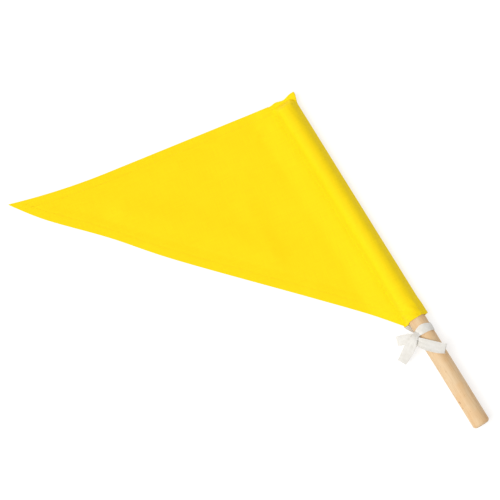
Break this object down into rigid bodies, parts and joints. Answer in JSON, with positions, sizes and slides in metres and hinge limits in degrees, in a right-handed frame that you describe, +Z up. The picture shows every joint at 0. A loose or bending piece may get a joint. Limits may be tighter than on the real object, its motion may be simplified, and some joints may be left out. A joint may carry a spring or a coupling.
{
  "type": "hand pennant flag",
  "caption": "Triangular yellow cotton pennant sewn into a sleeve on a round wooden stick, with a tape tied in a bow below the sleeve.",
  "frame": {"origin": "middle of the object's footprint, on the surface it lies on", "axes": "+Z up off the surface it lies on, +Y along the stick from the grip to its top end, the flag flies towards -X"},
  "size_m": [0.299, 0.432, 0.0242],
  "materials": {
    "dowel_wood": "bare sanded pale wood, unvarnished",
    "yellow_cotton": "plain-woven cotton, matte with a faint sheen",
    "yellow_thread": "matte sewing thread in the cloth's colour",
    "white_tape": "matte off-white woven cotton tape"
  },
  "bodies": {
    "stick": {"dowel": "dowel_wood"},
    "tie": {"tie_band": "white_tape", "tie_knot": "white_tape", "left_loop": "white_tape", "left_tail": "white_tape", "right_loop": "white_tape", "right_tail": "white_tape"},
    "sleeve": {"sleeve": "yellow_cotton", "sleeve_top_hem": "yellow_cotton", "sleeve_mouth_hem": "yellow_cotton", "sleeve_seam_stitching": "yellow_thread", "sleeve_top_stitching": "yellow_thread", "sleeve_mouth_stitching": "yellow_thread", "tape_root": "white_tape", "tape_tack_stitching": "yellow_thread"},
    "hoist_part": {"flag_panel_hoist": "yellow_cotton", "top_hem_hoist": "yellow_cotton", "bottom_hem_hoist": "yellow_cotton", "top_stitching_hoist": "yellow_thread", "bottom_stitching_hoist": "yellow_thread"},
    "fly_part": {"flag_panel_fly": "yellow_cotton", "top_hem_fly": "yellow_cotton", "bottom_hem_fly": "yellow_cotton", "top_stitching_fly": "yellow_thread", "bottom_stitching_fly": "yellow_thread"}
  },
  "joints": [
    {"name": "flag_pulls_off", "type": "slide", "parent": "stick", "child": "tie", "axis": [0, 1, 0], "range_m": [0, 0.3]},
    {"name": "sleeve_turns", "type": "hinge", "parent": "tie", "child": "sleeve", "pos_m": [0.1345, 0, 0.0102], "axis": [0, 1, 0], "range_deg": [-35, 35]},
    {"name": "flag_flaps", "type": "hinge", "parent": "sleeve", "child": "hoist_part", "pos_m": [0.1192, 0.034, 0.0045], "axis": [0, 1, 0], "range_deg": [-100, 100]},
    {"name": "tip_folds", "type": "hinge", "parent": "hoist_part", "child": "fly_part", "pos_m": [-0.0555, 0.138, 0.0012], "axis": [0, 1, 0], "range_deg": [-90, 170]}
  ]
}
